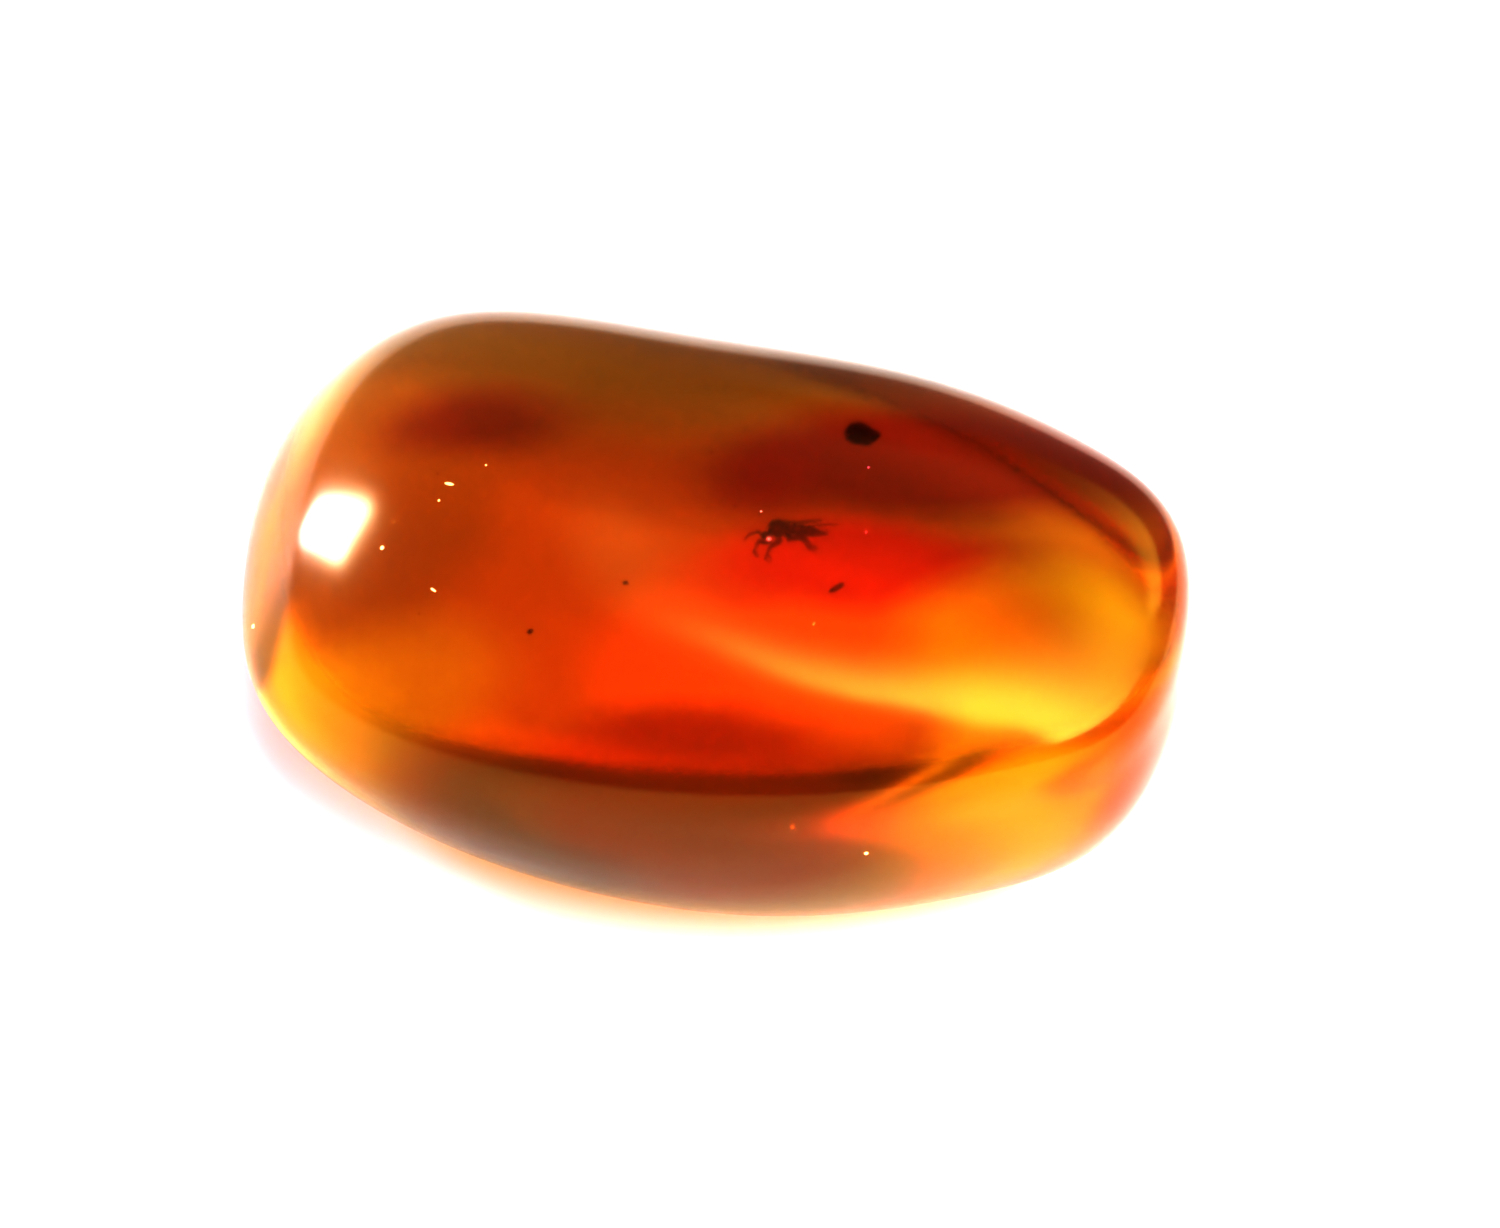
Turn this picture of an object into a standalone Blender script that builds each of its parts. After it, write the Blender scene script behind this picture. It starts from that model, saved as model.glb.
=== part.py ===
"""Insect in amber: a polished amber pebble with a gnat and two crumbs of bark sealed in it.

Metres, +Z up. The origin is on the resting face, under the middle of the pebble's box.
+X runs along the pebble's length, towards its blunter end, and +Y towards its back.
The amber is parted level with the inclusions, so that each lies in an open pocket.
"""

import math

import bmesh
import bpy
from mathutils import Euler, Matrix, Vector

MM = 0.001

# The pebble's overall size
STONE_LENGTH = 30.0 * MM
STONE_WIDTH = 18.9 * MM
STONE_HEIGHT = 11.0 * MM

# The cage's outline at its waist, counter-clockwise from the front left corner
WAIST_MM = [
    (-13.9, -7.0), (-5.5, -10.1), (5.5, -10.2), (13.5, -6.6),
    (17.3, -4.3), (17.4, 4.4),
    (12.6, 7.4), (5.0, 10.0), (-5.0, 9.9), (-15.4, 10.8),
    (-17.8, 4.4), (-16.3, -2.6),
]  # fmt: skip
SIDE_CELLS = 3  # faces along each side of the cage's caps
BASE_SPREAD = 0.62  # the base's inner corners, as a share of its outline: they bound the flat resting face
CROWN_SPREAD = 0.42  # the same for the top

# The cage's rings from the base up: height, its rise from left to right, how far it dips at the front left
# and at the front right, shares of the waist's length and width, and sideways shifts
RINGS_MM = [
    (0.0, 0.0, 0.0, 0.0, 0.66, 0.66, 0.0, 0.0),
    (1.0, 0.0, 0.0, 0.0, 0.93, 0.93, 0.0, 0.0),
    (4.5, 1.0, 0.8, 0.3, 1.04, 1.04, 0.0, 0.0),
    (7.6, 2.0, 3.0, 1.5, 0.97, 1.00, 0.8, -0.2),
    (9.9, 2.2, 4.0, 2.4, 0.90, 0.92, 1.9, -0.6),
    (11.2, 1.0, 3.0, 1.2, 0.62, 0.68, 3.0, -0.9),
]
CROWN_RISE_MM = 0.5  # how far the top cap's inner corners stand over its rim
STONE_SMOOTHING = 2

# The flow layer that the inclusions lie in, where the amber is parted
PART_HEIGHT = 6.0 * MM
PART_GAP = 0.1 * MM

# The gnat: its thorax's centre and how it lies, on its left side with its back to the pebble's back
GNAT_AT = Vector((2.36, 1.55, 6.0)) * MM
GNAT_TURN = Euler((math.radians(-70), 0, math.radians(16)))
THORAX_RADII = Vector((0.33, 0.24, 0.28)) * MM
HEAD_RADIUS = 0.17 * MM
HEAD_AT = Vector((-0.36, 0, -0.24)) * MM
EYE_RADIUS = 0.09 * MM
EYE_AT = Vector((-0.43, 0.10, -0.21)) * MM
ABDOMEN_LENGTH = 1.35 * MM
ABDOMEN_RADIUS = 0.19 * MM
ABDOMEN_START = Vector((0.18, 0, 0.0)) * MM
ABDOMEN_DROOP = math.radians(14)
ABDOMEN_SEGMENTS = 7
ABDOMEN_WAIST = 0.08  # where along its swell the abdomen starts, which leaves it a waist
ABDOMEN_LEAN = 0.75  # under 1 moves its thickest part towards the waist
ABDOMEN_FULLNESS = 0.7  # under 1 makes its swell blunter
ABDOMEN_SIDES = 12
SEGMENT_PINCH = 0.10
WING_LENGTH = 1.45 * MM
WING_WIDTH = 0.48 * MM
WING_THICKNESS = 0.03 * MM
WING_STALK = 0.35  # the wing's width at its root, as a share of its full width
WING_SWEEP = 0.8  # under 1 brings the widest place nearer the root
WING_ROOT = Vector((-0.02, 0.13, 0.2)) * MM
WING_SPREAD = math.radians(20)
WING_TILT = math.radians(14)
LEG_RADIUS = 0.03 * MM
FEELER_RADIUS = 0.022 * MM
LIMB_TAPER = 0.6  # how thick a leg's or a feeler's tip is, as a share of its root
# Each limb of the gnat's left side, from its root to its tip, in mm
LEGS_MM = {
    "fore_leg": [
        (-0.18, 0.10, -0.15),
        (-0.30, 0.22, -0.44),
        (-0.58, 0.28, -0.42),
        (-0.72, 0.26, -0.74),
        (-0.60, 0.24, -0.92),
    ],
    "mid_leg": [
        (0.00, 0.12, -0.18),
        (0.02, 0.34, -0.46),
        (-0.24, 0.50, -0.60),
        (-0.36, 0.46, -0.94),
        (-0.24, 0.42, -1.08),
    ],
    "hind_leg": [
        (0.16, 0.12, -0.14),
        (0.34, 0.36, -0.38),
        (0.70, 0.46, -0.34),
        (0.92, 0.40, -0.72),
        (1.10, 0.36, -0.80),
    ],
}
FEELER_MM = [(-0.46, 0.05, -0.18), (-0.60, 0.12, -0.08), (-0.82, 0.18, -0.12), (-0.98, 0.22, -0.28)]

# The crumb and the splinter of bark: place, half sizes, turn and the directions that their flats face
CRUMB = {
    "at": Vector((3.90, 5.33, 6.0)) * MM,
    "radii": Vector((0.55, 0.34, 0.24)) * MM,
    "turn": math.radians(-6),
    "flats": [(0.3, 1, 0.2), (-1, -0.2, 0.5), (0.8, -0.5, -0.6)],
}
SPLINTER = {
    "at": Vector((4.54, -0.26, 6.0)) * MM,
    "radii": Vector((0.26, 0.09, 0.07)) * MM,
    "turn": math.radians(40),
    "flats": [(0.2, 1, 0.4), (0.1, -0.6, -1)],
}
FLAT_REACH = 0.72  # a flat's distance from the crumb's centre, as a share of the round form's
FLAT_DEPTH = 0.9  # how far what stands over a flat is pressed down to it

POCKET_CLEARANCE = 0.3 * MM


def clear_scene():
    for obj in list(bpy.data.objects):
        bpy.data.objects.remove(obj)


def material(name, colour, roughness, metallic=0.0):
    made = bpy.data.materials.new(name)
    made.use_nodes = True
    shader = made.node_tree.nodes["Principled BSDF"]
    shader.inputs["Base Color"].default_value = (*colour, 1)
    shader.inputs["Roughness"].default_value = roughness
    shader.inputs["Metallic"].default_value = metallic
    return made


def add_object(name, mesh, collection, finish=None):
    obj = bpy.data.objects.new(name, mesh)
    collection.objects.link(obj)
    if finish:
        mesh.materials.append(finish)
    return obj


def evaluated_mesh(obj):
    """A plain mesh of what the object shows, with its modifiers in it."""
    bpy.context.view_layer.update()
    graph = bpy.context.evaluated_depsgraph_get()
    return bpy.data.meshes.new_from_object(obj.evaluated_get(graph))


def applied(obj):
    """Puts the object's modifiers and its placing into its mesh."""
    mesh = evaluated_mesh(obj)
    mesh.transform(obj.matrix_world)
    obj.modifiers.clear()
    obj.data = mesh
    obj.matrix_world = Matrix.Identity(4)
    return obj


# ---- the pebble ----


def ring_points(height, rise, left_dip, right_dip, length_share, width_share, shift_x, shift_y):
    """The cage's corners in one ring, in the outline's order."""
    reach_x = max(x for x, _ in WAIST_MM)
    reach_y = max(y for _, y in WAIST_MM)
    points = []
    for x, y in WAIST_MM:
        dip = left_dip * max(0, -x / reach_x) + right_dip * max(0, x / reach_x)
        z = height + rise * x / reach_x / 2 - dip * max(0, -y / reach_y)
        points.append(Vector((x * length_share + shift_x, y * width_share + shift_y, z)) * MM)
    return points


def cap_corner(column, row, outline, spread):
    """The place of a cap's corner (0 to SIDE_CELLS each way) on the given outline or inside it."""
    n = SIDE_CELLS
    if row == 0:
        return outline[column]
    if column == n:
        return outline[n + row]
    if row == n:
        return outline[3 * n - column]
    if column == 0:
        return outline[4 * n - row]
    middle = sum(outline, Vector()) / len(outline)
    nearest = {(1, 1): 0, (2, 1): n, (2, 2): 2 * n, (1, 2): 3 * n}[column, row]
    return middle.lerp(outline[nearest], spread)


def stone_cage():
    """A grid whose corners sit on the base ring, drawn up through the other rings."""
    bm = bmesh.new()
    n = SIDE_CELLS
    bmesh.ops.create_grid(bm, x_segments=n, y_segments=n, size=1)
    column = bm.verts.layers.int.new("column")
    row = bm.verts.layers.int.new("row")
    for v in bm.verts:
        v[column] = round((v.co.x + 1) / 2 * n)
        v[row] = round((v.co.y + 1) / 2 * n)
    cap = list(bm.faces)
    for level, ring in enumerate(RINGS_MM):
        if level > 0:
            raised = bmesh.ops.extrude_face_region(bm, geom=cap)["geom"]
            if level > 1:
                bmesh.ops.delete(bm, geom=cap, context="FACES")
            cap = [g for g in raised if isinstance(g, bmesh.types.BMFace)]
        outline = ring_points(*ring)
        spread = CROWN_SPREAD if level else BASE_SPREAD
        for v in {v for face in cap for v in face.verts}:
            v.co = cap_corner(v[column], v[row], outline, spread)
    for v in {v for face in cap for v in face.verts}:
        if 0 < v[column] < n and 0 < v[row] < n:
            v.co.z += CROWN_RISE_MM * MM
    bmesh.ops.recalc_face_normals(bm, faces=bm.faces)
    mesh = bpy.data.meshes.new("stone")
    bm.to_mesh(mesh)
    bm.free()
    return mesh


def fit_to_size(mesh):
    """Scales the mesh to the pebble's overall size and sets the middle of its base on the origin."""
    low = Vector([min(v.co[i] for v in mesh.vertices) for i in range(3)])
    high = Vector([max(v.co[i] for v in mesh.vertices) for i in range(3)])
    size = (STONE_LENGTH, STONE_WIDTH, STONE_HEIGHT)
    middle = (low + high) / 2
    middle.z = low.z
    scale = Matrix.Diagonal([size[i] / (high[i] - low[i]) for i in range(3)]).to_4x4()
    mesh.transform(scale @ Matrix.Translation(-middle))


def whole_stone(collection):
    stone = add_object("stone", stone_cage(), collection)
    smooth = stone.modifiers.new("smooth", "SUBSURF")
    smooth.levels = smooth.render_levels = STONE_SMOOTHING
    applied(stone)
    fit_to_size(stone.data)
    return stone


def amber_half(name, stone, side, pockets, collection, finish):
    """The stone's part above (side 1) or below (side -1) the flow layer, with half of each pocket cut out."""
    bm = bmesh.new()
    bm.from_mesh(stone.data)
    cut = bmesh.ops.bisect_plane(
        bm,
        geom=bm.verts[:] + bm.edges[:] + bm.faces[:],
        dist=1e-7,
        plane_co=(0, 0, PART_HEIGHT + side * PART_GAP / 2),
        plane_no=(0, 0, -side),
        clear_outer=True,
    )["geom_cut"]
    bmesh.ops.contextual_create(bm, geom=[g for g in cut if isinstance(g, bmesh.types.BMEdge)])
    bmesh.ops.recalc_face_normals(bm, faces=bm.faces)
    mesh = bpy.data.meshes.new(name)
    bm.to_mesh(mesh)
    bm.free()
    half = add_object(name, mesh, collection, finish)
    for pocket in pockets:
        hollow = half.modifiers.new("pocket", "BOOLEAN")
        hollow.operation = "DIFFERENCE"
        hollow.object = pocket
    half.data.shade_smooth()
    half.data.set_sharp_from_angle(angle=math.radians(40))
    return half


# ---- the inclusions ----


def ball(name, centre, radii, collection, segments=14, rings=8):
    bpy.ops.mesh.primitive_uv_sphere_add(segments=segments, ring_count=rings, radius=1)
    obj = bpy.context.object
    obj.name = name
    obj.data.transform(Matrix.Translation(centre) @ Matrix.Diagonal((*radii, 1)))
    for other in list(obj.users_collection):
        other.objects.unlink(obj)
    collection.objects.link(obj)
    return obj


def welded_mesh(guide):
    """The guide curve's mesh with its caps welded on. The curve itself is removed."""
    mesh = evaluated_mesh(guide)
    bpy.data.objects.remove(guide)
    bm = bmesh.new()
    bm.from_mesh(mesh)
    bmesh.ops.remove_doubles(bm, verts=bm.verts, dist=1e-7)
    bmesh.ops.recalc_face_normals(bm, faces=bm.faces)
    bm.to_mesh(mesh)
    bm.free()
    return mesh


def tube(name, points, radius, collection):
    """A round limb through the points, thinner towards its tip, as a closed mesh."""
    curve = bpy.data.curves.new(name, "CURVE")
    curve.dimensions = "3D"
    curve.bevel_depth = radius
    curve.bevel_resolution = 1
    curve.use_fill_caps = True
    spline = curve.splines.new("POLY")
    spline.points.add(len(points) - 1)
    for i, point in enumerate(points):
        spline.points[i].co = (*point, 1)
        spline.points[i].radius = 1 + (LIMB_TAPER - 1) * i / (len(points) - 1)
    return add_object(name, welded_mesh(add_object(name + "_guide", curve, collection)), collection)


def abdomen(collection):
    """A turned body that swells behind the waist, tapers to the tail and is nipped in at its joints."""
    steps = ABDOMEN_SEGMENTS * 3
    profile = bpy.data.meshes.new("abdomen")
    corners = []
    for i in range(steps + 1):
        along = i / steps
        place = ABDOMEN_WAIST + (1 - ABDOMEN_WAIST) * along
        swell = max(0, math.sin(math.pi * place**ABDOMEN_LEAN)) ** ABDOMEN_FULLNESS
        nip = 1 - SEGMENT_PINCH * (0.5 + 0.5 * math.cos(2 * math.pi * along * ABDOMEN_SEGMENTS))
        radius = 0 if i in (0, steps) else ABDOMEN_RADIUS * swell * nip
        corners.append((radius, 0, -along * ABDOMEN_LENGTH))
    profile.from_pydata(corners, [(i, i + 1) for i in range(steps)], [])
    obj = add_object("abdomen", profile, collection)
    turn = obj.modifiers.new("turn", "SCREW")
    turn.axis = "Z"
    turn.steps = turn.render_steps = ABDOMEN_SIDES
    turn.use_merge_vertices = True
    turn.merge_threshold = 1e-7
    lie_back = Matrix.Rotation(-math.pi / 2 + ABDOMEN_DROOP, 4, "Y")
    obj.matrix_world = Matrix.Translation(ABDOMEN_START) @ lie_back
    return applied(obj)


def wing(name, side, collection):
    """A flat blade with a rounded tip, rooted on the thorax and folded back over the abdomen."""
    steps = 12
    curve = bpy.data.curves.new(name, "CURVE")
    curve.dimensions = "2D"
    curve.fill_mode = "BOTH"
    curve.extrude = WING_THICKNESS / 2
    spline = curve.splines.new("POLY")
    spline.points.add(steps - 1)
    for i, point in enumerate(spline.points):
        turn = 2 * math.pi * i / steps
        along = (1 - math.cos(turn)) / 2
        width = math.sin(turn) * (WING_STALK + (1 - WING_STALK) * along**WING_SWEEP)
        point.co = (along * WING_LENGTH, width * WING_WIDTH / 2, 0, 1)
    spline.use_cyclic_u = True
    mesh = welded_mesh(add_object(name + "_guide", curve, collection))
    root = Vector((WING_ROOT.x, side * WING_ROOT.y, WING_ROOT.z))
    spread = Matrix.Rotation(side * WING_SPREAD, 4, "Z")
    tilt = Matrix.Rotation(-side * WING_TILT, 4, "X")
    mesh.transform(Matrix.Translation(root) @ spread @ tilt)
    return add_object(name, mesh, collection)


def mirrored(points_mm, side):
    return [Vector((x, side * y, z)) * MM for x, y, z in points_mm]


def gnat(collection, finish):
    """The gnat as one fused body: thorax, head, eyes, abdomen, wings, legs and feelers."""
    body = ball("gnat", Vector(), THORAX_RADII, collection)
    limbs = [
        ball("head", HEAD_AT, (HEAD_RADIUS,) * 3, collection, 12, 8),
        abdomen(collection),
    ]
    for side in (-1, 1):
        eye = Vector((EYE_AT.x, side * EYE_AT.y, EYE_AT.z))
        limbs.append(ball("eye", eye, (EYE_RADIUS,) * 3, collection, 10, 6))
        limbs.append(tube("feeler", mirrored(FEELER_MM, side), FEELER_RADIUS, collection))
        limbs.append(wing("wing", side, collection))
        for name, points_mm in LEGS_MM.items():
            limbs.append(tube(name, mirrored(points_mm, side), LEG_RADIUS, collection))
    for limb in limbs:
        join = body.modifiers.new("join", "BOOLEAN")
        join.operation = "UNION"
        join.object = limb
    applied(body)
    for limb in limbs:
        bpy.data.objects.remove(limb)
    body.data.transform(Matrix.Translation(GNAT_AT) @ GNAT_TURN.to_matrix().to_4x4())
    body.data.materials.clear()
    body.data.materials.append(finish)
    return body


def bark_bit(name, size, collection, finish):
    """A broken bit of bark: a ball with flats knocked off it."""
    obj = ball(name, Vector(), size["radii"], collection, 10, 7)
    bm = bmesh.new()
    bm.from_mesh(obj.data)
    for direction in size["flats"]:
        normal = Vector(direction).normalized()
        reach = max(v.co.dot(normal) for v in bm.verts)
        for v in bm.verts:
            over = v.co.dot(normal) - FLAT_REACH * reach
            if over > 0:
                v.co -= normal * over * FLAT_DEPTH
    bm.to_mesh(obj.data)
    bm.free()
    obj.data.transform(Matrix.Translation(size["at"]) @ Matrix.Rotation(size["turn"], 4, "Z"))
    obj.data.materials.append(finish)
    return obj


def pocket_round(name, inclusion, collection):
    """A cutter: an egg-shaped hollow round the inclusion's box, clear of it all round."""
    corners = [v.co for v in inclusion.data.vertices]
    low = Vector([min(c[i] for c in corners) for i in range(3)])
    high = Vector([max(c[i] for c in corners) for i in range(3)])
    middle = (low + high) / 2
    reach = max(
        math.sqrt(sum(((c[i] - middle[i]) / ((high[i] - low[i]) / 2)) ** 2 for i in range(3)))
        for c in corners
    )
    radii = [(high[i] - low[i]) / 2 * reach + POCKET_CLEARANCE for i in range(3)]
    cutter = ball(name, middle, radii, collection, 16, 10)
    cutter.hide_render = True
    cutter.display_type = "WIRE"
    return cutter


def main():
    clear_scene()
    parts = bpy.data.collections.new("insect_in_amber")
    cutters = bpy.data.collections.new("cutters")
    for collection in (parts, cutters):
        bpy.context.scene.collection.children.link(collection)
    amber = material("amber", (0.80, 0.30, 0.02), 0.05)
    chitin = material("chitin", (0.06, 0.025, 0.01), 0.5)
    bark = material("bark", (0.10, 0.045, 0.02), 0.8)

    inclusions = [
        gnat(parts, chitin),
        bark_bit("bark_crumb", CRUMB, parts, bark),
        bark_bit("bark_splinter", SPLINTER, parts, bark),
    ]
    pockets = [pocket_round(obj.name + "_pocket", obj, cutters) for obj in inclusions]
    stone = whole_stone(cutters)
    stone.hide_render = True
    stone.display_type = "WIRE"
    amber_half("amber_upper", stone, 1, pockets, parts, amber)
    amber_half("amber_lower", stone, -1, pockets, parts, amber)


main()
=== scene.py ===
import math
import random

import bmesh
import bpy
from mathutils import Euler, Matrix, Vector, noise


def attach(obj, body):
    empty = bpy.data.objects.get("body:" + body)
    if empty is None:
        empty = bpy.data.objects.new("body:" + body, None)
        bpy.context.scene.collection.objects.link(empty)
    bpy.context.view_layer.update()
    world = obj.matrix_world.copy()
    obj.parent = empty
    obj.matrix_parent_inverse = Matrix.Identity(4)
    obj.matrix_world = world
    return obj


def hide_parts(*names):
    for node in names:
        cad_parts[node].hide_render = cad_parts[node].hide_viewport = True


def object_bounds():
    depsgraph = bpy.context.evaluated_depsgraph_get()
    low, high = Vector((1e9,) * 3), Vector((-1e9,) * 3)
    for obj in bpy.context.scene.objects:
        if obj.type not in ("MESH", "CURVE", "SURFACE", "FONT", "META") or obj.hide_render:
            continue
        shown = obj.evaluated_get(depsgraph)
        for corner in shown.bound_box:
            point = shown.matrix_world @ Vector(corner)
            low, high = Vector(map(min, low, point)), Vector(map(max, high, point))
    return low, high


# A polished pebble of clear amber with a gnat and two bits of bark sealed in it. The scene is in metres,
# +Z up, and sizes are in mm where their dictionary says so.

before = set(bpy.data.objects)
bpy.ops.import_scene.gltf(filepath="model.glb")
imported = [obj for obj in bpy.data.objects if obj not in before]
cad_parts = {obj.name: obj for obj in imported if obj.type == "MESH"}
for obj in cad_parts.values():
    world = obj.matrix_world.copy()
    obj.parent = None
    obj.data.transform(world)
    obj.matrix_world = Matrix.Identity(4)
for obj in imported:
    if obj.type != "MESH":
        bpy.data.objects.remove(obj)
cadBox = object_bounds()
print("frame loaded, box in mm:", [[round(v * 1000, 2) for v in corner] for corner in cadBox])

mm = 0.001
scene = bpy.context.scene


# Shared helpers

def addPiece(name, mesh, material, slot, *replaced):
    piece = bpy.data.objects.new(name, mesh)
    scene.collection.objects.link(piece)
    mesh.materials.append(material)
    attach(piece, "root")
    if replaced:
        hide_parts(*replaced)
    return piece


def objectFrom(bm, name):
    mesh = bpy.data.meshes.new(name)
    bm.to_mesh(mesh)
    bm.free()
    made = bpy.data.objects.new(name, mesh)
    scene.collection.objects.link(made)
    return made


def newMaterial(name):
    material = bpy.data.materials.new(name)
    material.use_nodes = True
    return material, material.node_tree, material.node_tree.nodes["Principled BSDF"]


def setInputs(node, **values):
    for name, value in values.items():
        node.inputs[name.replace("_", " ")].default_value = value


def addNode(tree, kind, **settings):
    node = tree.nodes.new(kind)
    for name, value in settings.items():
        setattr(node, name, value)
    return node


# Camera

view = {
    "lens": 85,
    "sensor": 36,
    "nearest": 5 * mm,
    "azimuth": math.radians(14.2),
    "elevation": math.radians(51),
    "distance": 107.86 * mm,
    "aim": Vector((1.63, 0.14, 5.29)) * mm,
}


def placeCamera():
    azimuth, elevation = view["azimuth"], view["elevation"]
    back = Vector((
        math.sin(azimuth) * math.cos(elevation),
        -math.cos(azimuth) * math.cos(elevation),
        math.sin(elevation),
    ))
    lens = bpy.data.cameras.new("camera")
    lens.lens = view["lens"]
    lens.sensor_width = view["sensor"]
    lens.clip_start = view["nearest"]
    camera = bpy.data.objects.new("camera", lens)
    scene.collection.objects.link(camera)
    turn = back.to_track_quat("Z", "Y").to_matrix().to_4x4()
    camera.matrix_world = Matrix.Translation(view["aim"] + back * view["distance"]) @ turn
    scene.camera = camera


placeCamera()
print("camera placed")


# The amber

pebble = {
    "outline": [  # the cage round the waist, in mm, counter-clockwise from the front left corner
        (-13.9, -7.0), (-5.5, -10.1), (5.5, -10.2), (13.5, -6.6),
        (17.3, -4.3), (17.4, 4.4),
        (12.6, 7.4), (5.0, 10.0), (-5.0, 9.9), (-15.4, 10.8),
        (-17.8, 4.4), (-16.3, -2.6),
    ],
    # height, its rise from left to right, dips at the front left and front right,
    # shares of length and width, sideways shifts
    "rings": [
        (0.0, 0.0, 0.0, 0.0, 0.66, 0.66, 0.0, 0.0),
        (1.0, 0.0, 0.0, 0.0, 0.93, 0.93, 0.0, 0.0),
        (4.5, 1.0, 0.8, 0.3, 1.04, 1.04, 0.0, 0.0),
        (7.6, 2.0, 3.0, 1.5, 0.97, 1.00, 0.8, -0.2),
        (9.9, 2.2, 4.0, 2.4, 0.90, 0.92, 1.9, -0.6),
        (11.2, 1.0, 3.0, 1.2, 0.62, 0.68, 3.0, -0.9),
    ],
    "cells": 3,
    "baseSpread": 0.62,
    "crownSpread": 0.42,
    "crownRise": 0.5,
    "smoothing": 5,
    "bending": 1.54,  # index of refraction
    "glow": (0.985, 0.87, 0.12, 1),  # what the depth lets through
    "depth": 225,  # absorption per metre
    "roughness": 0.15,
    "sheen": (1, 0.88, 0.22, 1),  # the tint of its reflections
    "skin": (1, 0.95, 0.5),  # the tint of its skin, for one crossing
    "drift": 1.5 * mm,  # how far the painted light and shade zones' edges wander
    "driftScale": 180,
    "driftDetail": 3,
    # zones of painted light and shade laid over the skin, each over the ones before: darker red and brown
    # where
    # # shade falls under and inside the stone, yellower where light focused through it would glow. Each has
    # its
    # # middle and reaches in mm, turn in degrees, the share of its reach where a zone starts to fade, and
    # its tint
    "paintedLightZones": [
        (0, 0, 11, 20, 13, 6.4, 0, 0.72, (0.7, 0.38, 0.25)),
        (-3, 7.8, 9, 15.5, 7.2, 9, 0, 0.5, (0.38, 0.23, 0.15)),
        (-15, -1, 6, 2.6, 7, 5, 0, 0.4, (0.9, 0.66, 0.5)),
        (-9.6, -1, 8, 5.6, 6, 6, 0, 0.5, (0.56, 0.34, 0.2)),
        (-7.6, 2, 10, 4.8, 2, 4, 3, 0.2, (0.4, 0.1, 0.12)),
        (-6.6, -6.2, 7.5, 4.6, 2.5, 4, 0, 0.2, (0.78, 0.7, 0.3)),
        (6.8, 2.7, 10, 9.2, 3.3, 4, 13, 0.5, (0.4, 0.06, 0.15)),
        (3, -5, 10, 6, 4.5, 4, 12, 0.4, (0.99, 0.44, 0.3)),
        (5.2, -1.6, 10, 6, 2.1, 4, 10, 0.4, (0.78, 0.1, 0.3)),
        (2, 1, 10, 2.4, 2.4, 4, 0, 0.2, (0.45, 0.05, 0.2)),
        (11.2, -3, 10, 5.8, 3.6, 4, 14, 0.5, (1, 0.88, 0.3)),
        (-9.5, -7, 5, 4.5, 2.6, 3.5, 20, 0.3, (1, 1, 0.6)),
        (2, -9.2, 7, 9, 2.2, 5, 0, 0.5, (0.98, 0.3, 0.05)),
        (-5, -9.2, 6, 4.5, 2.2, 4.5, 10, 0.4, (0.98, 0.5, 0.35)),
        (2, -7.9, 9.6, 7, 1.5, 1.7, 0, 0.2, (0.5, 0.13, 0.15)),
        (11.5, -6.5, 8, 4.3, 3, 5, 20, 0.5, (1, 1, 0.06)),
        (14.9, -4.6, 6, 2.2, 4.2, 6, 0, 0.4, (0.6, 0.2, 0.05)),
    ],
}


def ringCorners(height, rise, leftDip, rightDip, lengthShare, widthShare, shiftX, shiftY):
    reachX = max(x for x, _ in pebble["outline"])
    reachY = max(y for _, y in pebble["outline"])
    corners = []
    for x, y in pebble["outline"]:
        dip = leftDip * max(0, -x / reachX) + rightDip * max(0, x / reachX)
        z = height + rise * x / reachX / 2 - dip * max(0, -y / reachY)
        corners.append(Vector((x * lengthShare + shiftX, y * widthShare + shiftY, z)) * mm)
    return corners


def capCorner(column, row, corners, spread):
    n = pebble["cells"]
    if row == 0:
        return corners[column]
    if column == n:
        return corners[n + row]
    if row == n:
        return corners[3 * n - column]
    if column == 0:
        return corners[4 * n - row]
    middle = sum(corners, Vector()) / len(corners)
    nearest = {(1, 1): 0, (2, 1): n, (2, 2): 2 * n, (1, 2): 3 * n}[column, row]
    return middle.lerp(corners[nearest], spread)


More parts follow.
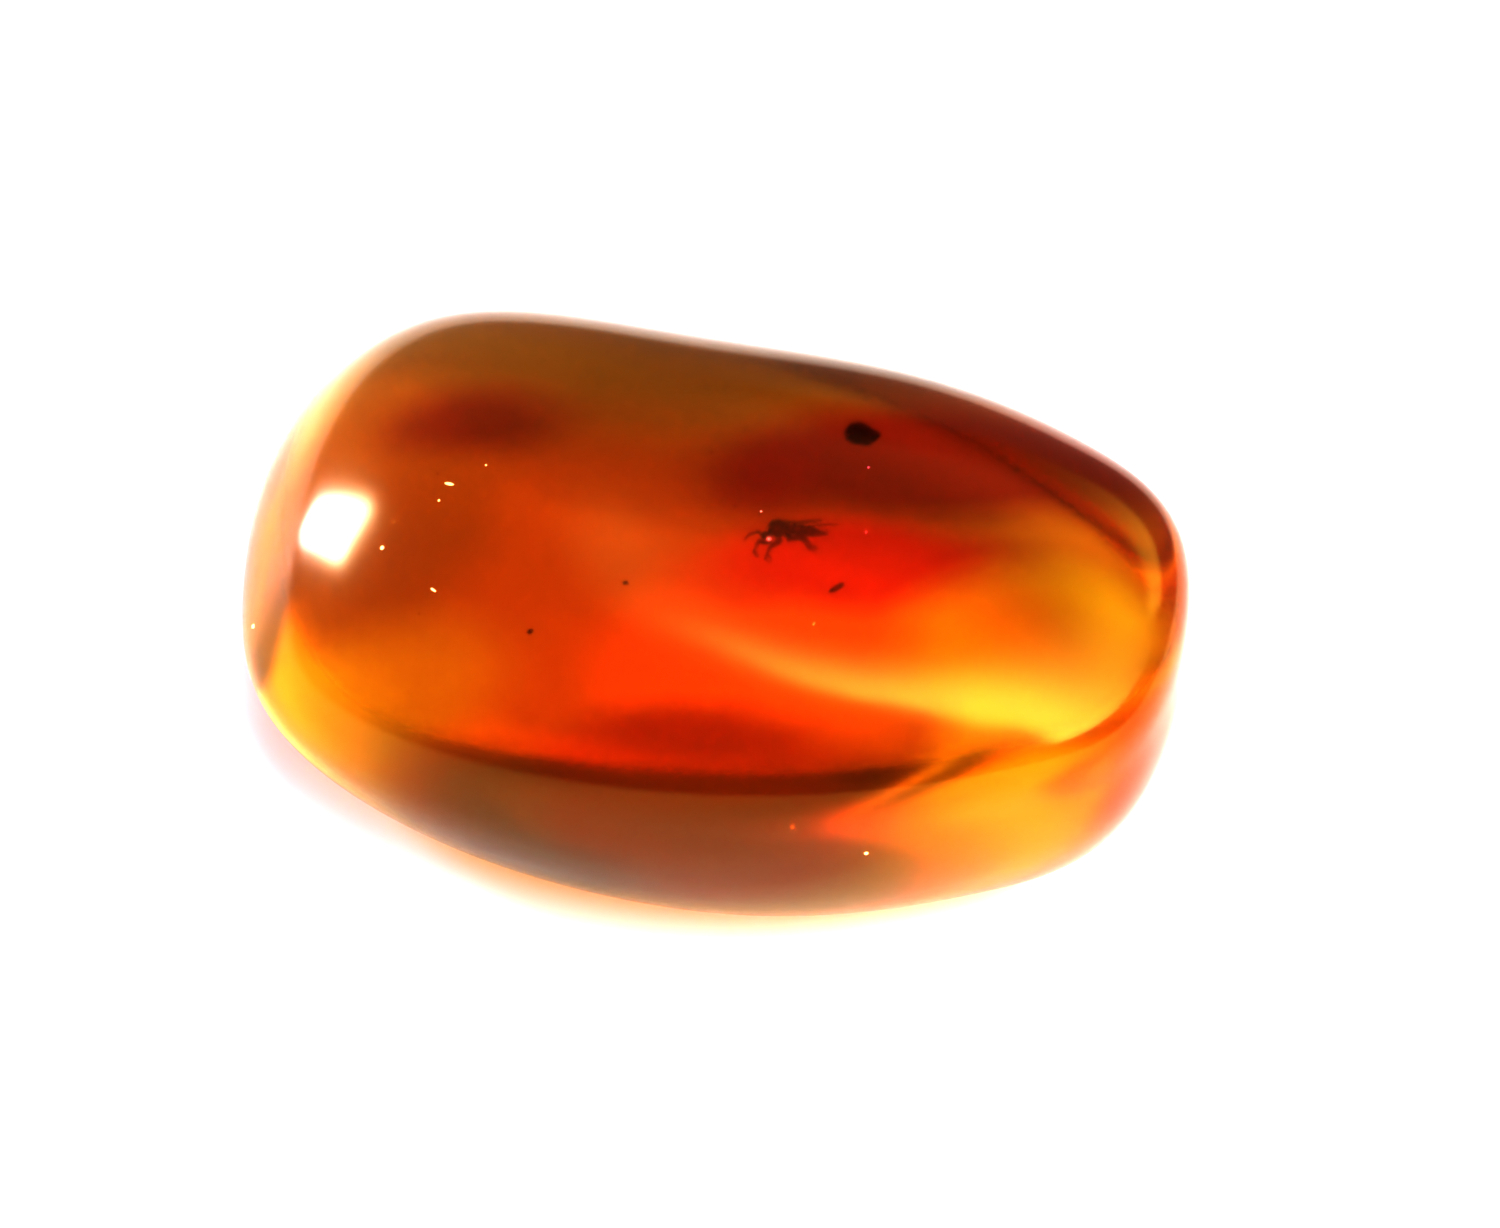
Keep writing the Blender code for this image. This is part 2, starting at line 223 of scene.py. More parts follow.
def pebbleMesh():
    # a grid drawn up through the rings, then smoothed and set into the solid's own box
    bm = bmesh.new()
    n = pebble["cells"]
    bmesh.ops.create_grid(bm, x_segments=n, y_segments=n, size=1)
    column = bm.verts.layers.int.new("column")
    row = bm.verts.layers.int.new("row")
    for v in bm.verts:
        v[column] = round((v.co.x + 1) / 2 * n)
        v[row] = round((v.co.y + 1) / 2 * n)
    cap = list(bm.faces)
    for level, ring in enumerate(pebble["rings"]):
        if level > 0:
            raised = bmesh.ops.extrude_face_region(bm, geom=cap)["geom"]
            if level > 1:
                bmesh.ops.delete(bm, geom=cap, context="FACES")
            cap = [g for g in raised if isinstance(g, bmesh.types.BMFace)]
        corners = ringCorners(*ring)
        spread = pebble["crownSpread"] if level else pebble["baseSpread"]
        for v in {v for face in cap for v in face.verts}:
            v.co = capCorner(v[column], v[row], corners, spread)
    for v in {v for face in cap for v in face.verts}:
        if 0 < v[column] < n and 0 < v[row] < n:
            v.co.z += pebble["crownRise"] * mm
    bmesh.ops.recalc_face_normals(bm, faces=bm.faces)
    holder = objectFrom(bm, "cage")
    smooth = holder.modifiers.new("smooth", "SUBSURF")
    smooth.levels = smooth.render_levels = pebble["smoothing"]
    mesh = bpy.data.meshes.new_from_object(holder.evaluated_get(bpy.context.evaluated_depsgraph_get()))
    bpy.data.objects.remove(holder)
    low = Vector([min(v.co[i] for v in mesh.vertices) for i in range(3)])
    high = Vector([max(v.co[i] for v in mesh.vertices) for i in range(3)])
    boxLow, boxHigh = Vector(cadBox[0]), Vector(cadBox[1])
    scale = Matrix.Diagonal([(boxHigh[i] - boxLow[i]) / (high[i] - low[i]) for i in range(3)]).to_4x4()
    mesh.transform(Matrix.Translation(boxLow) @ scale @ Matrix.Translation(-low))
    mesh.shade_smooth()
    return mesh


def amberMaterial():
    material, tree, shader = newMaterial("amber")
    link = tree.links.new
    place = addNode(tree, "ShaderNodeTexCoord")
    drift = addNode(tree, "ShaderNodeTexNoise")
    setInputs(drift, Scale=pebble["driftScale"], Detail=pebble["driftDetail"])
    lean = addNode(tree, "ShaderNodeVectorMath", operation="MULTIPLY_ADD")
    lean.inputs[1].default_value = (pebble["drift"],) * 3
    centre = addNode(tree, "ShaderNodeVectorMath", operation="SUBTRACT")
    centre.inputs[1].default_value = (pebble["drift"] / 2,) * 3
    link(place.outputs["Object"], drift.inputs["Vector"])
    link(drift.outputs["Color"], lean.inputs[0])
    link(place.outputs["Object"], lean.inputs[2])
    link(lean.outputs["Vector"], centre.inputs[0])
    skin = addNode(tree, "ShaderNodeRGB").outputs["Color"]
    skin.default_value = (*pebble["skin"], 1)
    # each zone mixes its tint of painted shade and painted glow over the skin
    for x, y, z, reachX, reachY, reachZ, turn, hard, tint in pebble["paintedLightZones"]:
        spot = addNode(tree, "ShaderNodeMapping", vector_type="TEXTURE")
        setInputs(
            spot,
            Location=(x * mm, y * mm, z * mm),
            Rotation=(0, 0, math.radians(turn)),
            Scale=(reachX * mm, reachY * mm, reachZ * mm),
        )
        away = addNode(tree, "ShaderNodeVectorMath", operation="LENGTH")
        fade = addNode(tree, "ShaderNodeMapRange", interpolation_type="SMOOTHSTEP")
        setInputs(fade, From_Min=hard, From_Max=1, To_Min=1, To_Max=0)
        mix = addNode(tree, "ShaderNodeMix", data_type="RGBA")
        mix.inputs[7].default_value = (*tint, 1)
        link(centre.outputs["Vector"], spot.inputs["Vector"])
        link(spot.outputs["Vector"], away.inputs[0])
        link(away.outputs["Value"], fade.inputs["Value"])
        link(fade.outputs["Result"], mix.inputs["Factor"])
        link(skin, mix.inputs[6])
        skin = mix.outputs[2]
    # the shader takes the square root of its colour at each crossing, so the tint is squared
    twice = addNode(tree, "ShaderNodeMix", data_type="RGBA", blend_type="MULTIPLY")
    twice.inputs["Factor"].default_value = 1
    link(skin, twice.inputs[6])
    link(skin, twice.inputs[7])
    # the base colour is the skin with its painted light and shade, squared
    link(twice.outputs[2], shader.inputs["Base Color"])
    setInputs(shader, Roughness=pebble["roughness"], IOR=pebble["bending"], Transmission_Weight=1)
    setInputs(shader, Specular_Tint=pebble["sheen"])
    depth = addNode(tree, "ShaderNodeVolumeAbsorption")
    setInputs(depth, Color=pebble["glow"], Density=pebble["depth"])
    link(depth.outputs["Volume"], tree.nodes["Material Output"].inputs["Volume"])
    return material


addPiece("amber", pebbleMesh(), amberMaterial(), "amber", "amber_upper", "amber_lower")
print("amber made")


# The gnat

gnat = {  # lengths in mm, in the gnat's own frame: head towards -X, back towards +Z
    "at": (2.36, 1.55, 6.0),
    "turn": (-70, 0, 16),
    "thorax": (0.33, 0.24, 0.28),
    "hump": (-0.12, 0.12, 0.03),  # the back's hump: where, how wide and how high
    "groove": (0.14, 0.03, -0.014),
    "neckFrom": (-0.18, 0, -0.10),
    "neckRadii": (0.10, 0.09),
    "headAt": (-0.36, 0, -0.24),
    "headRadii": (0.15, 0.17, 0.17),
    "eyeAt": (-0.42, 0.10, -0.21),
    "eyeRadius": 0.095,
    "facetGap": 0.0022,
    "facetRise": 0.0016,
    "beak": ((-0.44, 0, -0.36), (-0.50, 0, -0.50)),
    "beakRadii": (0.045, 0.016),
    "abdomenStart": (0.16, 0, 0),
    "abdomenLength": 1.35,
    "abdomenRadius": 0.19,
    "abdomenDroop": 14,
    "abdomenSides": 28,
    "segments": 7,
    "segmentSteps": 6,
    "pinch": 0.14,
    "wingRoot": (-0.02, 0.13, 0.2),
    "wingLength": 1.45,
    "wingWidth": 0.48,
    "wingSpread": 20,
    "wingTilt": 14,
    "wingSides": 40,
    "wingHem": 0.35,  # how far in its inner ring lies, as a share of its half width
    "wingThickness": 0.006,
    "wingRipple": 0.012,
    "rippleTurns": 9,
    "wingTint": (0.10, 0.035, 0.012, 1),
    "wingClear": 0.3,
    "wingRoughness": 0.3,
    "veins": (-0.34, -0.14, 0.05, 0.24, 0.4),  # where each ends, as a share of the wing's width
    "veinSteps": 8,
    "veinRadii": (0.010, 0.009),
    "legs": {  # hip, knee, ankle and foot of each left leg, then the claw
        "fore": (
            (-0.18, 0.10, -0.15), (-0.30, 0.22, -0.44), (-0.58, 0.28, -0.42),
            (-0.72, 0.26, -0.74), (-0.60, 0.24, -0.92),
        ),
        "mid": (
            (0.00, 0.12, -0.18), (0.02, 0.34, -0.46), (-0.24, 0.50, -0.60),
            (-0.36, 0.46, -0.94), (-0.24, 0.42, -1.08),
        ),
        "hind": (
            (0.16, 0.12, -0.14), (0.34, 0.36, -0.38), (0.70, 0.46, -0.34),
            (0.92, 0.40, -0.72), (1.10, 0.36, -0.80),
        ),
    },
    "legRadii": (0.070, 0.060, 0.046, 0.034, 0.016),
    "feeler": ((-0.46, 0.05, -0.18), (-0.60, 0.12, -0.08), (-0.82, 0.18, -0.12), (-0.98, 0.22, -0.28)),
    "feelerRadii": (0.018, 0.016, 0.013, 0.008),
    "beads": 13,
    "beadRadii": (0.034, 0.018),
    "hair": 0.12,
    "hairRadii": (0.005, 0.001),
    "hairLean": 0.35,
    "backHairs": 60,
    "abdomenHairs": 70,
    "legHairs": 9,  # on each stretch of a leg
    "beadHairs": 4,
    "dark": (0.12, 0.010, 0.003, 1),
    "pale": (0.30, 0.05, 0.014, 1),
    "roughness": 0.38,
    "mottleScale": 9000,
    "mottleShare": 0.5,
    "grainDepth": 0.01 * mm,
    "seed": 4,
}


def shadeVerts(bm, verts, shade):
    layer = bm.verts.layers.float["shade"]  # 0 is dark and 1 is pale
    for v in verts:
        v[layer] = shade


def addBall(bm, centre, radii, shade, detail=3):
    place = Matrix.Translation(centre) @ Matrix.Diagonal((*radii, 1))
    verts = bmesh.ops.create_icosphere(bm, subdivisions=detail, radius=1, matrix=place)["verts"]
    shadeVerts(bm, verts, shade)
    return verts


def addRod(bm, start, end, startRadius, endRadius, shade, sides=8):
    start, end = Vector(start), Vector(end)
    along = end - start
    place = Matrix.Translation((start + end) / 2) @ along.to_track_quat("Z", "Y").to_matrix().to_4x4()
    verts = bmesh.ops.create_cone(
        bm, cap_ends=True, segments=sides, radius1=startRadius, radius2=endRadius,
        depth=along.length, matrix=place,
    )["verts"]
    shadeVerts(bm, verts, shade)


def addHair(bm, root, towards, length, rng):
    reach = gnat["hairLean"]
    lean = Vector([rng.uniform(-reach, reach) for _ in range(3)])
    tip = Vector(root) + (Vector(towards).normalized() + lean) * length
    addRod(bm, root, tip, *gnat["hairRadii"], 0.1, sides=3)


def pointAlong(points, share):
    reach = share * (len(points) - 1)
    i = min(int(reach), len(points) - 2)
    return Vector(points[i]).lerp(Vector(points[i + 1]), reach - i)


def addAbdomen(bm):
    # half a profile with a nip at each joint, spun round its own axis and swung into line
    steps = gnat["segments"] * gnat["segmentSteps"]
    rim = []
    for i in range(steps + 1):
        along = i / steps
        swell = max(0, math.sin(math.pi * (0.08 + 0.92 * along) ** 0.75)) ** 0.7
        joint = math.cos(math.pi * along * gnat["segments"])  # 1 or -1 at each joint
        radius = 0 if i in (0, steps) else gnat["abdomenRadius"] * swell * (1 - gnat["pinch"] * joint ** 8)
        v = bm.verts.new((along * gnat["abdomenLength"], 0, radius))
        v[bm.verts.layers.float["shade"]] = 0.15 + 0.75 * joint ** 6
        rim.append(v)
    edges = [bm.edges.new(pair) for pair in zip(rim, rim[1:])]
    before = set(bm.verts) - set(rim)
    bmesh.ops.spin(
        bm, geom=rim + edges, cent=(0, 0, 0), axis=(1, 0, 0), angle=2 * math.pi,
        steps=gnat["abdomenSides"], use_merge=True,
    )
    verts = [v for v in bm.verts if v not in before]
    bmesh.ops.remove_doubles(bm, verts=verts, dist=1e-5)
    verts = [v for v in bm.verts if v not in before]
    bmesh.ops.recalc_face_normals(bm, faces=list({f for v in verts for f in v.link_faces}))
    droop = Matrix.Rotation(math.radians(gnat["abdomenDroop"]), 4, "Y")
    bmesh.ops.transform(bm, matrix=Matrix.Translation(gnat["abdomenStart"]) @ droop, verts=verts)


def addEye(bm, side):
    x, y, z = gnat["eyeAt"]
    verts = addBall(bm, (x, side * y, z), (gnat["eyeRadius"],) * 3, 0.0, detail=4)
    facets = list({f for v in verts for f in v.link_faces})
    bmesh.ops.inset_individual(bm, faces=facets, thickness=gnat["facetGap"], depth=gnat["facetRise"])


def addLeg(bm, points, side, rng):
    joints = [Vector((x, side * y, z)) for x, y, z in points]
    radii = gnat["legRadii"]
    for i in range(len(joints) - 1):
        addRod(bm, joints[i], joints[i + 1], radii[i], radii[i + 1], 0.25 + 0.1 * i)
        addBall(bm, joints[i + 1], (radii[i + 1] * 1.25,) * 3, 0.1, detail=2)
        along = joints[i + 1] - joints[i]
        for _ in range(gnat["legHairs"]):
            root = joints[i].lerp(joints[i + 1], rng.uniform(0.1, 0.95))
            towards = along.orthogonal()
            towards.rotate(Matrix.Rotation(rng.uniform(0, 2 * math.pi), 3, along))
            addHair(bm, root, towards, gnat["hair"] * rng.uniform(0.4, 0.8), rng)


def addFeeler(bm, side, rng):
    points = [(x, side * y, z) for x, y, z in gnat["feeler"]]
    count = gnat["beads"]
    first, last = gnat["beadRadii"]
    for i in range(count):
        spot = pointAlong(points, i / (count - 1))
        addBall(bm, spot, (first + (last - first) * i / count,) * 3, 0.2, detail=2)
        for _ in range(gnat["beadHairs"]):
            towards = Vector([rng.gauss(0, 1) for _ in range(3)])
            addHair(bm, spot, towards, gnat["hair"] * 0.8, rng)
    radii = gnat["feelerRadii"]
    for i in range(len(points) - 1):
        addRod(bm, points[i], points[i + 1], radii[i], radii[i + 1], 0.2)


def gnatPlace():
    turn = Euler([math.radians(a) for a in gnat["turn"]]).to_matrix().to_4x4()
    return Matrix.Translation(Vector(gnat["at"]) * mm) @ turn @ Matrix.Scale(mm, 4)


def meshFrom(bm, name, place, smooth=True):
    bmesh.ops.transform(bm, matrix=place, verts=bm.verts)
    mesh = bpy.data.meshes.new(name)
    bm.to_mesh(mesh)
    bm.free()
    if smooth:
        mesh.shade_smooth()
        mesh.set_sharp_from_angle(angle=math.radians(50))
    return mesh


def gnatBody():
    rng = random.Random(gnat["seed"])
    bm = bmesh.new()
    bm.verts.layers.float.new("shade")
    thorax = addBall(bm, (0, 0, 0), gnat["thorax"], 0.12, detail=5)
    for v in thorax:
        for where, reach, rise in (gnat["hump"], gnat["groove"]):
            v.co.z += rise * math.exp(-((v.co.x - where) / reach) ** 2) * (v.co.z > 0)
    addRod(bm, gnat["neckFrom"], gnat["headAt"], *gnat["neckRadii"], 0.3, sides=16)
    addBall(bm, gnat["headAt"], gnat["headRadii"], 0.1, detail=4)
    addRod(bm, *gnat["beak"], *gnat["beakRadii"], 0.3, sides=12)
    addAbdomen(bm)
    for _ in range(gnat["backHairs"]):
        towards = Vector((rng.uniform(-1, 1), rng.uniform(-1, 1), rng.uniform(0.2, 1))).normalized()
        root = Vector([gnat["thorax"][i] * towards[i] * 0.98 for i in range(3)])
        addHair(bm, root, towards, gnat["hair"] * rng.uniform(0.5, 1), rng)
    for _ in range(gnat["abdomenHairs"]):
        along, turn = rng.uniform(0.15, 0.97), rng.uniform(0, 2 * math.pi)
        towards = Vector((0.6, math.sin(turn), math.cos(turn)))
        root = Vector((gnat["abdomenStart"][0] + along * gnat["abdomenLength"], 0, 0))
        root += Vector((0, math.sin(turn), math.cos(turn))) * gnat["abdomenRadius"] * 0.6
        root.rotate(Matrix.Rotation(math.radians(gnat["abdomenDroop"]), 3, "Y"))
        addHair(bm, root, towards, gnat["hair"], rng)
    for side in (-1, 1):
        addEye(bm, side)
        addFeeler(bm, side, rng)
        for points in gnat["legs"].values():
            addLeg(bm, points, side, rng)
    return meshFrom(bm, "gnat", gnatPlace())


def ripple(along):
    return gnat["wingRipple"] * math.sin(along * gnat["rippleTurns"])


def gnatWings():
    # each a disc drawn out to a blade, rippled and given a thickness, with a rod along each vein
    bm = bmesh.new()
    bm.verts.layers.float.new("shade")
    for side in (-1, 1):
        verts = bmesh.ops.create_circle(bm, cap_ends=True, segments=gnat["wingSides"], radius=1)["verts"]
        face = verts[0].link_faces[0]
        bmesh.ops.inset_region(bm, faces=[face], thickness=gnat["wingHem"])
        blade = [v for v in bm.verts if not v.tag]
        for v in blade:
            along = (v.co.x + 1) / 2
            v.co.x = along * gnat["wingLength"]
            v.co.y *= (0.35 + 0.65 * along ** 0.8) * gnat["wingWidth"] / 2
            v.co.z = ripple(along)
        faces = list({f for v in blade for f in v.link_faces})
        bmesh.ops.solidify(bm, geom=faces, thickness=gnat["wingThickness"])
        for end in gnat["veins"]:
            last = Vector((0.02, 0, 0))
            for i in range(gnat["veinSteps"]):
                along = (i + 1) / gnat["veinSteps"]
                spot = Vector((
                    along * gnat["wingLength"] * (0.97 - 0.35 * end * end),
                    gnat["wingWidth"] * end * along ** 0.6,
                    ripple(along),
                ))
                addRod(bm, last, spot, *gnat["veinRadii"], 1.0, sides=6)
                last = spot
        new = [v for v in bm.verts if not v.tag]
        x, y, z = gnat["wingRoot"]
        place = (
            Matrix.Translation((x, side * y, z))
            @ Matrix.Rotation(math.radians(side * gnat["wingSpread"]), 4, "Z")
            @ Matrix.Rotation(math.radians(-side * gnat["wingTilt"]), 4, "X")
        )
        bmesh.ops.transform(bm, matrix=place, verts=new)
        for v in new:
            v.tag = True
    return meshFrom(bm, "wings", gnatPlace())


def chitinMaterial():
    material, tree, shader = newMaterial("chitin")
    shade = addNode(tree, "ShaderNodeAttribute", attribute_name="shade")
    place = addNode(tree, "ShaderNodeTexCoord")
    mottle = addNode(tree, "ShaderNodeTexNoise")
    setInputs(mottle, Scale=gnat["mottleScale"], Detail=3)
    blend = addNode(tree, "ShaderNodeMath", operation="MULTIPLY_ADD")
    blend.inputs[1].default_value = gnat["mottleShare"]
    mix = addNode(tree, "ShaderNodeMix", data_type="RGBA")
    mix.inputs[6].default_value = gnat["dark"]
    mix.inputs[7].default_value = gnat["pale"]
    bump = addNode(tree, "ShaderNodeBump")
    setInputs(bump, Strength=0.5, Distance=gnat["grainDepth"])
    setInputs(shader, Roughness=gnat["roughness"], IOR=1.56)
    link = tree.links.new
    link(place.outputs["Object"], mottle.inputs["Vector"])
    link(mottle.outputs["Fac"], blend.inputs[0])
    link(shade.outputs["Fac"], blend.inputs[2])
    link(blend.outputs["Value"], mix.inputs["Factor"])
    link(mix.outputs[2], shader.inputs["Base Color"])
    link(mottle.outputs["Fac"], bump.inputs["Height"])
    link(bump.outputs["Normal"], shader.inputs["Normal"])
    return material


def wingMaterial():
    material, tree, shader = newMaterial("wing")
    shade = addNode(tree, "ShaderNodeAttribute", attribute_name="shade")
    clear = addNode(tree, "ShaderNodeMapRange")
    setInputs(clear, To_Min=gnat["wingClear"])
    setInputs(shader, Base_Color=gnat["wingTint"], Roughness=gnat["wingRoughness"])
    tree.links.new(shade.outputs["Fac"], clear.inputs["Value"])
    tree.links.new(clear.outputs["Result"], shader.inputs["Alpha"])
    return material


addPiece("gnat", gnatBody(), chitinMaterial(), "chitin", "gnat")
addPiece("gnat_wings", gnatWings(), wingMaterial(), "chitin")
print("gnat made")


# The bits of bark

bark = {  # lengths in mm
    "crumb": {
        "at": (3.90, 5.33, 6.0), "radii": (0.62, 0.38, 0.26), "turn": -6,
        "flats": ((0.3, 1, 0.2), (-1, -0.2, 0.5), (0.8, -0.5, -0.6)), "rough": 0.045, "grain": 9,
    },
    "splinter": {
        "at": (4.54, -0.26, 6.0), "radii": (0.27, 0.10, 0.07), "turn": 54,
        "flats": ((0.2, 1, 0.4), (0.1, -0.6, -1)), "rough": 0.014, "grain": 34,
    },
    "flatReach": 0.72,
    "flatDepth": 0.9,
    "stretch": 0.25,  # of the tears along the grain
    "tear": (0.7, 2.2, 5),  # the noise's dimension, lacunarity and octaves
    "tearMiddle": 0.35,
    "fibreScale": 5000,
    "roughness": 0.85,
    "dark": (0.10, 0.012, 0.004, 1),
    "light": (0.28, 0.045, 0.014, 1),
}


def barkMesh(name):
    # a ball with flats knocked off, then torn along its grain
    bit = bark[name]
    bm = bmesh.new()
    place = Matrix.Diagonal((*bit["radii"], 1))
    bmesh.ops.create_icosphere(bm, subdivisions=6, radius=1, matrix=place)
    for direction in bit["flats"]:
        normal = Vector(direction).normalized()
        reach = max(v.co.dot(normal) for v in bm.verts)
        for v in bm.verts:
            over = v.co.dot(normal) - bark["flatReach"] * reach
            if over > 0:
                v.co -= normal * over * bark["flatDepth"]
    bm.normal_update()
    for v in bm.verts:
        spot = Vector((v.co.x * bark["stretch"], v.co.y, v.co.z)) * bit["grain"]
        tear = noise.fractal(spot, *bark["tear"]) - bark["tearMiddle"]
        v.co += v.normal * bit["rough"] * tear
    turn = Matrix.Rotation(math.radians(bit["turn"]), 4, "Z")
    place = Matrix.Translation(Vector(bit["at"]) * mm) @ turn @ Matrix.Scale(mm, 4)
    return meshFrom(bm, name, place, smooth=False)


def barkMaterial():
    material, tree, shader = newMaterial("bark")
    place = addNode(tree, "ShaderNodeTexCoord")
    fibre = addNode(tree, "ShaderNodeTexNoise")
    setInputs(fibre, Scale=bark["fibreScale"], Detail=6, Roughness=0.7)
    ramp = addNode(tree, "ShaderNodeValToRGB")
    ramp.color_ramp.elements[0].position = 0.35
    ramp.color_ramp.elements[0].color = bark["dark"]
    ramp.color_ramp.elements[1].position = 0.75
    ramp.color_ramp.elements[1].color = bark["light"]
    setInputs(shader, Roughness=bark["roughness"])
    tree.links.new(place.outputs["Object"], fibre.inputs["Vector"])
    tree.links.new(fibre.outputs["Fac"], ramp.inputs["Fac"])
    tree.links.new(ramp.outputs["Color"], shader.inputs["Base Color"])
    return material


# The bubbles and the dust

specks = {  # lengths in mm: middle, half lengths and turn of each speck
    "bubbles": [
        ((-7.55, 0.14, 8.34), (0.16, 0.05, 0.05), -4),
        ((-9.04, -2.04, 7.6), (0.07, 0.07, 0.07), 0),
        ((-7.0, -3.38, 7.8), (0.12, 0.035, 0.035), -25),
        ((-7.7, -0.43, 8.2), (0.04, 0.04, 0.04), 0),
        ((4.65, 2.65, 9.4), (0.03, 0.03, 0.03), 0),
        ((1.96, 0.41, 9.3), (0.03, 0.03, 0.03), 0),
        ((2.22, 0.9, 6.4), (0.065, 0.05, 0.05), 0),
        ((7.05, -7.8, 5.9), (0.06, 0.06, 0.06), 0),
        ((-13.0, -3.3, 4.3), (0.06, 0.06, 0.06), 0),
    ],
    "dust": [
        ((-1.54, -1.28, 6), (0.09, 0.07, 0.06), 0),
        ((-3.77, -3.3, 6), (0.1, 0.08, 0.06), 30),
    ],
    "scatter": {"bubbles": 5, "dust": 22},  # finer ones, strewn about
    "scatterMiddle": (0, 0, 6.5),
    "scatterReach": (10, 5.5, 2.2),
    "scatterSize": (0.012, 0.03),
    "stretch": 1.4,
    "gasTintAndGlow": (1, 0.97, 0.9, 1),
    "gasRoughness": 0.25,
    # the strength of the bubbles' glow: emission standing in for their glints, a painted glint
    "glint": 2.6,
}


def specksMesh(name):
    rng = random.Random(name)
    spots = list(specks[name])
    for _ in range(specks["scatter"][name]):
        reaches = zip(specks["scatterMiddle"], specks["scatterReach"])
        at = [middle + rng.uniform(-1, 1) * reach for middle, reach in reaches]
        radius = rng.uniform(*specks["scatterSize"])
        spots.append((at, (radius * specks["stretch"], radius, radius), rng.uniform(0, 180)))
    bm = bmesh.new()
    for at, radii, turn in spots:
        place = Matrix.Translation(at) @ Matrix.Rotation(math.radians(turn), 4, "Z")
        bmesh.ops.create_icosphere(bm, subdivisions=2, radius=1, matrix=place @ Matrix.Diagonal((*radii, 1)))
    return meshFrom(bm, name, Matrix.Scale(mm, 4))


def gasMaterial():
    material, _, shader = newMaterial("gasTintAndGlow")  # a bubble's film glints like bright metal, and it also glows by emission, a painted glint
    setInputs(shader, Base_Color=specks["gasTintAndGlow"], Metallic=1, Roughness=specks["gasRoughness"])
    setInputs(shader, Emission_Color=specks["gasTintAndGlow"], Emission_Strength=specks["glint"])
    return material


barkFinish = barkMaterial()
addPiece("bubbles", specksMesh("bubbles"), gasMaterial(), "amber")
addPiece("dust", specksMesh("dust"), barkFinish, "bark")
addPiece("crumb", barkMesh("crumb"), barkFinish, "bark", "bark_crumb")
addPiece("splinter", barkMesh("splinter"), barkFinish, "bark", "bark_splinter")
print("bark, bubbles and dust made")


# The floor and the lights

studio = {
    "floorShade": (0.85, 0.85, 0.85, 1),
    "floorRoughness": 0.6,
    "floorGloss": 0.2,
    "floorReach": 1,
    "floorDrop": 0.05 * mm,
    "room": 0.35,  # the room's own even light
    "contrast": "High Contrast",
    "gamma": 0.75,
    "exposure": 0.6,
    "bounces": 10,  # light that is caught inside the amber turns many times
    "lightCells": 8,
    # each light is a soft sheet between two edges, points in metres from the pebble's foot: "power" is
    # its brightness, "start" the share of it at the first points, and "fade" dims it towards the dim edge
    "lights": {
        "panel": {
            "bright": [(-0.268, 0.186, 0.5), (-0.21, 0.205, 0.5), (0.0, 0.01, 0.5), (0.8, -0.8, 0.5)],
            "dim": [(-0.268, 0.19, 0.5), (-0.2, 0.24, 0.5), (0.0, 0.25, 0.5), (1.0, 0.7, 0.5)],
            "power": 8.5,
            "shade": (1, 0.98, 1, 1),
            "start": 0.5,
            "fade": True,
        },
        "window": {
            "bright": [(-0.38, 0.116, 0.014), (-0.36, 0.06, 0.16)],
            "dim": [(-0.37, 0.135, 0.062), (-0.33, 0.115, 0.2)],
            "power": 28,
            "shade": (1, 1, 1.6, 1),
            "start": 1,
            "fade": False,
        },
        "glint": {  # low behind the right, for the yellow gleam at the front left
            "bright": [(0.368, 0.258, 0.219), (0.323, 0.226, 0.30)],
            "dim": [(-0.116, 0.434, 0.235), (-0.10, 0.37, 0.33)],
            "power": 3,
            "shade": (1, 1, 0.5, 1),
            "start": 1,
            "fade": True,
        },
    },
}


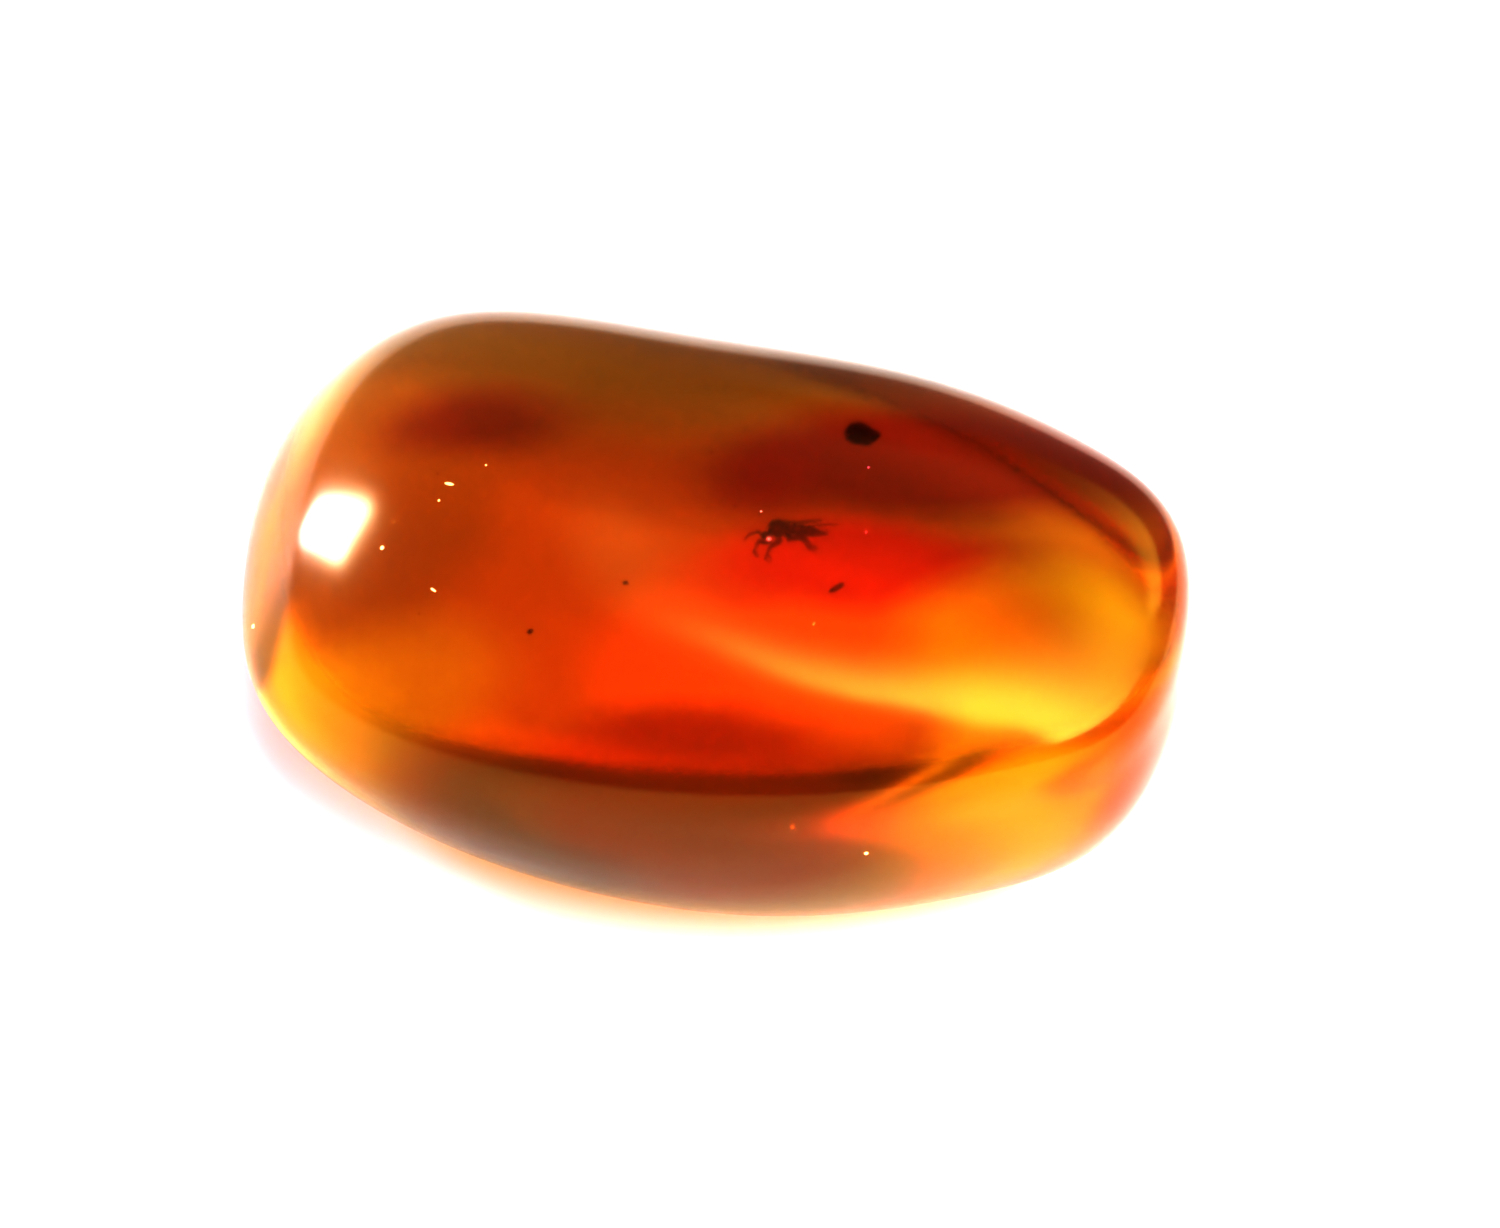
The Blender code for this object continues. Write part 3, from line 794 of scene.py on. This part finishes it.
def addLight(name):
    light = studio["lights"][name]
    bright, dim = light["bright"], light["dim"]
    steps = len(bright) - 1
    bm = bmesh.new()
    bm.loops.layers.uv.new("fade")
    cells = studio["lightCells"]
    bmesh.ops.create_grid(bm, x_segments=steps * cells, y_segments=cells, size=0.5, calc_uvs=True)
    for v in bm.verts:
        along = (v.co.x + 0.5) * steps
        first = min(int(along), steps - 1)
        near = Vector(bright[first]).lerp(Vector(bright[first + 1]), along - first)
        far = Vector(dim[first]).lerp(Vector(dim[first + 1]), along - first)
        v.co = near.lerp(far, v.co.y + 0.5)
    box = objectFrom(bm, name)
    material = bpy.data.materials.new(name)
    material.use_nodes = True
    tree = material.node_tree
    tree.nodes.clear()
    glow = addNode(tree, "ShaderNodeEmission")
    output = addNode(tree, "ShaderNodeOutputMaterial")
    tree.links.new(glow.outputs["Emission"], output.inputs["Surface"])
    setInputs(glow, Color=light["shade"])
    place = addNode(tree, "ShaderNodeUVMap")
    split = addNode(tree, "ShaderNodeSeparateXYZ")
    swell = addNode(tree, "ShaderNodeMapRange")
    setInputs(swell, To_Min=light["power"] * light["start"], To_Max=light["power"])
    tree.links.new(place.outputs["UV"], split.inputs["Vector"])
    tree.links.new(split.outputs["X"], swell.inputs["Value"])
    tree.links.new(swell.outputs["Result"], glow.inputs["Strength"])
    if light["fade"]:
        fade = addNode(tree, "ShaderNodeMapRange", interpolation_type="SMOOTHSTEP")
        setInputs(fade, From_Min=1.0, From_Max=0.0, To_Min=0.0)
        tree.links.new(split.outputs["Y"], fade.inputs["Value"])
        tree.links.new(swell.outputs["Result"], fade.inputs["To Max"])
        tree.links.new(fade.outputs["Result"], glow.inputs["Strength"])
    box.data.materials.append(material)


def addFloor():
    bm = bmesh.new()
    bmesh.ops.create_grid(bm, x_segments=1, y_segments=1, size=studio["floorReach"])
    bmesh.ops.translate(bm, verts=bm.verts, vec=(0, 0, -studio["floorDrop"]))
    floor = objectFrom(bm, "floor")
    material, _, shader = newMaterial("floor")
    setInputs(shader, Base_Color=studio["floorShade"], Roughness=studio["floorRoughness"])
    setInputs(shader, Specular_IOR_Level=studio["floorGloss"])
    floor.data.materials.append(material)


addFloor()
for name in studio["lights"]:
    addLight(name)
world = bpy.data.worlds.new("world")
world.use_nodes = True
setInputs(world.node_tree.nodes["Background"], Color=(1, 1, 1, 1), Strength=studio["room"])
scene.world = world
scene.cycles.max_bounces = scene.cycles.transmission_bounces = studio["bounces"]
scene.cycles.glossy_bounces = 8
scene.view_settings.view_transform = "Standard"
scene.view_settings.look = studio["contrast"]
scene.view_settings.gamma = studio["gamma"]
scene.view_settings.exposure = studio["exposure"]
print("studio set")
